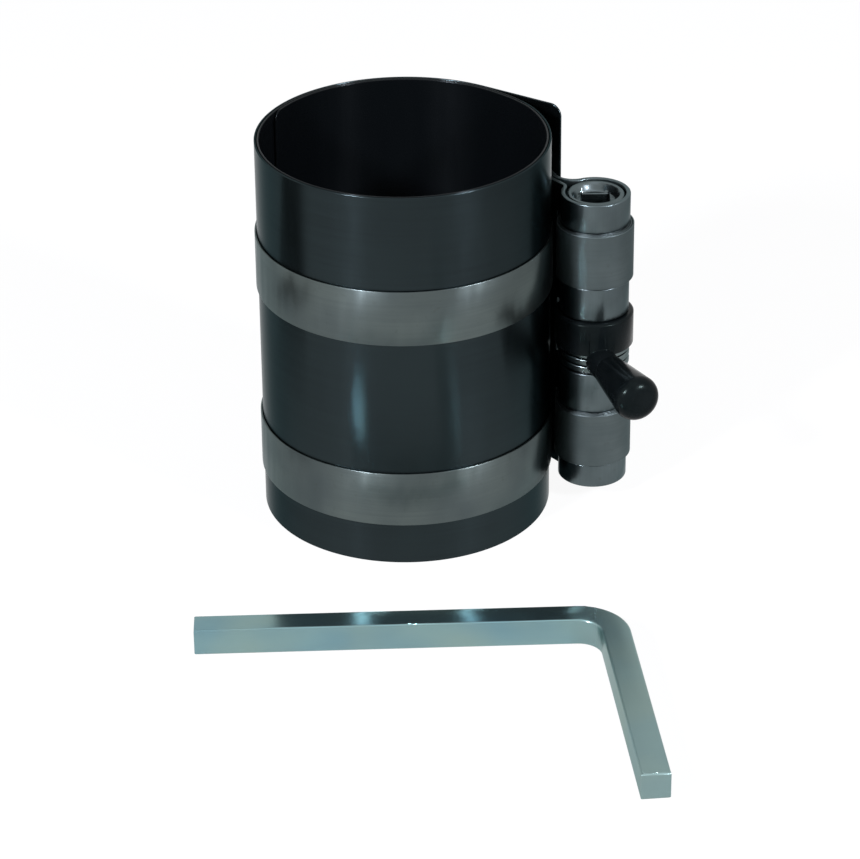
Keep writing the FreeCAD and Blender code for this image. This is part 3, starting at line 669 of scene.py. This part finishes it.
WIRE_DEPTH = 1.1 * MM
WIRE_HEIGHT = 1.35 * MM
WIRE_EDGE_MM, WIRE_SEGMENTS = 0.3, 3
spring_low, spring_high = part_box("clutch_spring")
spring_sizes = {
    "Turns": 3.6,
    "Radius": spring_high[0] - SPINDLE_X - WIRE_DEPTH / 2,
    "Rise": spring_high[2] - spring_low[2] - WIRE_HEIGHT,
    "Wire Depth": WIRE_DEPTH,
    "Wire Height": WIRE_HEIGHT,
    "Axis": SPINDLE_X,
    "Level": spring_low[2] + WIRE_HEIGHT / 2,
}
spring = grow("clutch_spring_wire", spring_tree(), spring_wire, spring_sizes)
round_edges(spring, WIRE_EDGE_MM, WIRE_SEGMENTS)
stand_for(spring, "clutch_spring")

# %% [markdown]
# The rivets
#
# Four rivets hold the bracket's leaves, the bands and the sleeve together. A domed head is the
# upper half of a flattened ball, closed by its hull, on a plain round shank. Four copies could be
# placed by hand. Here two of them make a pair, and the pair is set on each band, so that one
# spacing moves both pairs.

# %% The rivets
RIVET_SIZES = ("Shank Radius", "Shank Start", "Seat", "Head Radius", "Head Height", "Axis Angle",
               "First Level", "Spacing", "Band Pitch")
DOME_SEGMENTS, DOME_RINGS = 32, 16
SHANK_SIDES = 24
JUST_BELOW_MIDDLE = -0.01


def rivets_tree():
    tree, given = start_tree("rivet_pairs", RIVET_SIZES)
    # One head, from a ball of radius 1.
    ball = add_node(tree, "GeometryNodeMeshUVSphere", [
        ("Segments", DOME_SEGMENTS), ("Rings", DOME_RINGS), ("Radius", 1.0)])
    spot = add_node(tree, "GeometryNodeInputPosition")
    spot_level = add_node(tree, "ShaderNodeSeparateXYZ", [(0, spot)])
    below = add_node(tree, "ShaderNodeMath", [
        (0, spot_level.outputs["Z"]), (1, JUST_BELOW_MIDDLE)], operation="LESS_THAN")
    half_ball = add_node(tree, "GeometryNodeDeleteGeometry", [
        ("Geometry", ball), ("Selection", below)])
    dome = add_node(tree, "GeometryNodeConvexHull", [("Geometry", half_ball)])
    dome_size = add_node(tree, "ShaderNodeCombineXYZ", [
        ("X", given["Head Radius"]), ("Y", given["Head Radius"]), ("Z", given["Head Height"])])
    seat = add_node(tree, "ShaderNodeCombineXYZ", [("Z", given["Seat"])])
    head = add_node(tree, "GeometryNodeTransform", [
        ("Geometry", dome), ("Translation", seat), ("Scale", dome_size)])
    # Its shank, from the sleeve's side to the seat of the head.
    length = add_node(tree, "ShaderNodeMath", [
        (0, given["Seat"]), (1, given["Shank Start"])], operation="SUBTRACT")
    both_ends = add_node(tree, "ShaderNodeMath", [
        (0, given["Seat"]), (1, given["Shank Start"])], operation="ADD")
    middle = add_node(tree, "ShaderNodeMath", [(0, both_ends), (1, 0.5)], operation="MULTIPLY")
    shank = add_node(tree, "GeometryNodeMeshCylinder", [
        ("Vertices", SHANK_SIDES), ("Radius", given["Shank Radius"]), ("Depth", length)])
    shank_place = add_node(tree, "ShaderNodeCombineXYZ", [("Z", middle)])
    stem = add_node(tree, "GeometryNodeTransform", [
        ("Geometry", shank), ("Translation", shank_place)])
    rivet = add_node(tree, "GeometryNodeJoinGeometry", [("Geometry", head), ("Geometry", stem)])
    # A pair that points outwards, and the pair again on the other band.
    outwards = add_node(tree, "ShaderNodeCombineXYZ", [
        ("Y", FULL_TURN / 4), ("Z", given["Axis Angle"])])
    apart = add_node(tree, "ShaderNodeCombineXYZ", [("Z", given["Spacing"])])
    pair_line = add_node(tree, "GeometryNodeMeshLine", [("Count", 2), ("Offset", apart)])
    pair = add_node(tree, "GeometryNodeInstanceOnPoints", [
        ("Points", pair_line), ("Instance", rivet), ("Rotation", outwards)])
    lowest = add_node(tree, "ShaderNodeCombineXYZ", [("Z", given["First Level"])])
    band_apart = add_node(tree, "ShaderNodeCombineXYZ", [("Z", given["Band Pitch"])])
    band_line = add_node(tree, "GeometryNodeMeshLine", [
        ("Count", 2), ("Start Location", lowest), ("Offset", band_apart)])
    pairs = add_node(tree, "GeometryNodeInstanceOnPoints", [
        ("Points", band_line), ("Instance", pair)])
    end_tree(tree, pairs, given)
    return tree


RIVET_HEAD_RADIUS = 2.2 * MM
RIVET_EDGE_MM, RIVET_SEGMENTS = 0.1, 2
rivets_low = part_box("bracket_rivets")[0]
lower_band_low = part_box("lower_band")[0]
upper_band_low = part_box("upper_band")[0]
rivet_sizes = {
    "Shank Radius": 1.2 * MM,
    "Shank Start": 28.85 * MM,
    "Seat": 31.6 * MM,
    "Head Radius": RIVET_HEAD_RADIUS,
    "Head Height": 0.8 * MM,
    "Axis Angle": math.radians(21.64),
    "First Level": rivets_low[2] + RIVET_HEAD_RADIUS,
    "Spacing": 6.0 * MM,
    "Band Pitch": upper_band_low[2] - lower_band_low[2],
}
rivets = grow("rivet_heads", rivets_tree(), rivet_steel, rivet_sizes)
round_edges(rivets, RIVET_EDGE_MM, RIVET_SEGMENTS)
stand_for(rivets, "bracket_rivets")

# %% [markdown]
# The measured pieces
#
# The other pieces keep the shape that was measured, such as the bent bracket with its windows and
# the turned spindle with its socket. They could be modelled once more by hand, but that would only
# bring in errors. Their meshes are loose triangles with knife-sharp edges. Each is copied, its
# triangles are joined into whole faces again, and its edges are rounded: the knob's the most, the
# bent strip's next, and the thin bands' and the collar's only a little.

# %% Dress the measured pieces
SAME_POINT = 1e-6
FLAT_ANGLE = math.radians(0.3)


def dress(node, name, material, edge_mm, segments):
    """A copy of a measured piece with rounded edges and a material. It stands for that piece."""
    piece = bpy.data.objects.new(name, frame["nodes"][node].data.copy())
    scene.collection.objects.link(piece)
    work = bmesh.new()
    work.from_mesh(piece.data)
    bmesh.ops.remove_doubles(work, verts=work.verts, dist=SAME_POINT)
    bmesh.ops.dissolve_limit(work, angle_limit=FLAT_ANGLE, verts=work.verts, edges=work.edges)
    for face in work.faces:
        face.smooth = True
    work.to_mesh(piece.data)
    work.free()
    piece.data.materials.clear()
    piece.data.materials.append(material)
    round_edges(piece, edge_mm, segments)
    stand_for(piece, node)


# The measured piece, the new one, its material, the width of its round in mm and its segments.
DRESSED = (
    ("lower_band", "lower_band_strip", band_steel, 0.1, 2),
    ("upper_band", "upper_band_strip", band_steel, 0.1, 2),
    ("bracket", "bent_bracket", bracket_steel, 0.2, 3),
    ("spindle", "turned_spindle", turned_steel, 0.15, 2),
    ("release_collar", "moulded_collar", black_moulding, 0.1, 3),
    ("lever_stud", "lever_pin", turned_steel, 0.1, 2),
    ("lever_grip", "lever_knob", black_moulding, 0.3, 3),
    ("square_key", "bent_key", zinc, 0.1, 2),
)
for node, name, material, edge_mm, segments in DRESSED:
    dress(node, name, material, edge_mm, segments)

# %% [markdown]
# Floor, light and background
#
# The tool stands on a pale sweep that fades into the background. More lamps would bleach it, but
# they would bleach the tool too. Instead the floor and the sky are white for rays from the camera
# and for reflections only. So the metals mirror a white room, while the lamps light the tool at a
# plain level. A small share of the floor stays matt paint, and shows a soft shadow. In reflections
# the table is painted a little darker towards the right, a painted shade where less light would
# fall.

# %% Floor and sky
FLOOR_HALF = 6.0
FLOOR_WHITE = 1.0
FLOOR_SHARE = 0.93
SHADE_START = 60 * MM
SHADE_END = 160 * MM
SHADE = 0.35
SKY_LIGHT = 0.25
SKY_WHITE = 1.0


def seen_directly(tree):
    """1 for rays that come from the camera or from a mirror or a glass, else 0."""
    path = add_node(tree, "ShaderNodeLightPath")
    glossy = add_node(tree, "ShaderNodeMath", [
        (0, path.outputs["Is Camera Ray"]), (1, path.outputs["Is Glossy Ray"])],
        operation="MAXIMUM")
    return add_node(tree, "ShaderNodeMath", [
        (0, glossy), (1, path.outputs["Is Transmission Ray"])], operation="MAXIMUM")


floor_mesh = bpy.data.meshes.new("floor")
floor_corners = [(-FLOOR_HALF, -FLOOR_HALF, 0), (FLOOR_HALF, -FLOOR_HALF, 0),
                 (FLOOR_HALF, FLOOR_HALF, 0), (-FLOOR_HALF, FLOOR_HALF, 0)]
floor_mesh.from_pydata(floor_corners, [], [(0, 1, 2, 3)])
floor = bpy.data.objects.new("floor", floor_mesh)
scene.collection.objects.link(floor)
floor_paint = bpy.data.materials.new("pale_floor")
floor_paint.use_nodes = True
paint_tree = floor_paint.node_tree
paint_tree.nodes.clear()
matt = add_node(paint_tree, "ShaderNodeBsdfDiffuse", [("Color", colour("#f2f2f2"))])
floor_spot = add_node(paint_tree, "ShaderNodeTexCoord")
floor_place = add_node(paint_tree, "ShaderNodeSeparateXYZ", [(0, floor_spot.outputs["Object"])])
# A painted shade, seen only in reflections: the floor's white fades towards the right.
falloff = add_node(paint_tree, "ShaderNodeMapRange", [
    ("Value", floor_place.outputs["X"]), ("From Min", SHADE_START), ("From Max", SHADE_END),
    ("To Max", SHADE)])
floor_path = add_node(paint_tree, "ShaderNodeLightPath")
shade = add_node(paint_tree, "ShaderNodeMath", [
    (0, falloff), (1, floor_path.outputs["Is Glossy Ray"])], operation="MULTIPLY")
lit = add_node(paint_tree, "ShaderNodeMath", [
    (0, FLOOR_WHITE), (1, shade)], operation="SUBTRACT")
white = add_node(paint_tree, "ShaderNodeEmission", [
    ("Color", colour("#ffffff")), ("Strength", lit)])
share = add_node(paint_tree, "ShaderNodeMath", [
    (0, seen_directly(paint_tree)), (1, FLOOR_SHARE)], operation="MULTIPLY")
mixed = add_node(paint_tree, "ShaderNodeMixShader", [(0, share), (1, matt), (2, white)])
add_node(paint_tree, "ShaderNodeOutputMaterial", [("Surface", mixed)])
floor_mesh.materials.append(floor_paint)

world = bpy.data.worlds.new("studio")
scene.world = world
world.use_nodes = True
sky_tree = world.node_tree
sky_tree.nodes.clear()
soft = add_node(sky_tree, "ShaderNodeBackground", [
    ("Color", colour("#f4f6f8")), ("Strength", SKY_LIGHT)])
blank = add_node(sky_tree, "ShaderNodeBackground", [
    ("Color", colour("#ffffff")), ("Strength", SKY_WHITE)])
sky = add_node(sky_tree, "ShaderNodeMixShader", [
    (0, seen_directly(sky_tree)), (1, soft), (2, blank)])
add_node(sky_tree, "ShaderNodeOutputWorld", [("Surface", sky)])
print("a pale floor, %.0f m wide, under a plain sky" % (2 * FLOOR_HALF))

# %% [markdown]
# A black card
#
# A photographer holds a black card beside a shiny thing to draw a dark line down its side. This
# card lies just above the table at the left, and only reflections show it: it is the dark upright
# streak near the left side of the sleeve. A dark stripe in the sleeve's own colour would look the
# same from the front, but it would be wrong from every other side.

# %% The card
CARD_LEFT, CARD_RIGHT = -260 * MM, -119 * MM
CARD_NEAR, CARD_FAR = -38 * MM, 34 * MM
CARD_LEVEL = 1 * MM
card_mesh = bpy.data.meshes.new("black_card")
card_corners = [(CARD_LEFT, CARD_NEAR, CARD_LEVEL), (CARD_RIGHT, CARD_NEAR, CARD_LEVEL),
                (CARD_RIGHT, CARD_FAR, CARD_LEVEL), (CARD_LEFT, CARD_FAR, CARD_LEVEL)]
card_mesh.from_pydata(card_corners, [], [(0, 1, 2, 3)])
card = bpy.data.objects.new("black_card", card_mesh)
scene.collection.objects.link(card)
card_paint = bpy.data.materials.new("black_card_paper")
card_paint.use_nodes = True
card_tree = card_paint.node_tree
card_tree.nodes.clear()
black = add_node(card_tree, "ShaderNodeBsdfDiffuse", [("Color", colour("#050505"))])
add_node(card_tree, "ShaderNodeOutputMaterial", [("Surface", black)])
card_mesh.materials.append(card_paint)
card.visible_camera = False
card.visible_diffuse = False
card.visible_shadow = False
print("a black card, %.0f mm wide, at the left" % ((CARD_RIGHT - CARD_LEFT) / MM))

# %% [markdown]
# Two studio lamps and a soft fill
#
# Two compact softboxes stand at the front, one at each side of the camera and at about its height.
# They draw the pairs of small lights on rims and edges, the light patches on the key and the
# upright streaks on the sleeve. One large lamp would be simpler, but it would wash over the dark
# steel and leave no such lights. A broad gentle lamp overhead softens the shadows of the two.

# %% Lamps
LAMP_WHITE = "#f2f4ff"


def softbox(name, round_angle, rise_angle, distance_mm, side_mm, watts):
    """A square lamp that looks at the middle of the sleeve. Its angles are from the front."""
    lamp = bpy.data.lights.new(name, "AREA")
    lamp.shape = "SQUARE"
    lamp.size = side_mm * MM
    lamp.energy = watts
    lamp.color = colour(LAMP_WHITE)[:3]
    holder = bpy.data.objects.new(name, lamp)
    scene.collection.objects.link(holder)
    across, rise = math.radians(round_angle), math.radians(rise_angle)
    level = math.cos(rise)
    ahead = Vector((math.sin(across) * level, -math.cos(across) * level, math.sin(rise)))
    holder.location = SLEEVE_MIDDLE + ahead * distance_mm * MM
    holder.rotation_euler = ahead.to_track_quat("Z", "Y").to_euler()
    print(name, "at", [round(value / MM) for value in holder.location], "mm")


softbox("left_softbox", round_angle=-40, rise_angle=30, distance_mm=900, side_mm=110, watts=13.5)
softbox("right_softbox", round_angle=49, rise_angle=30, distance_mm=900, side_mm=110, watts=10.5)
softbox("overhead_softbox", round_angle=10, rise_angle=72, distance_mm=1100, side_mm=700,
        watts=1.0)
scene.view_settings.view_transform = "Standard"
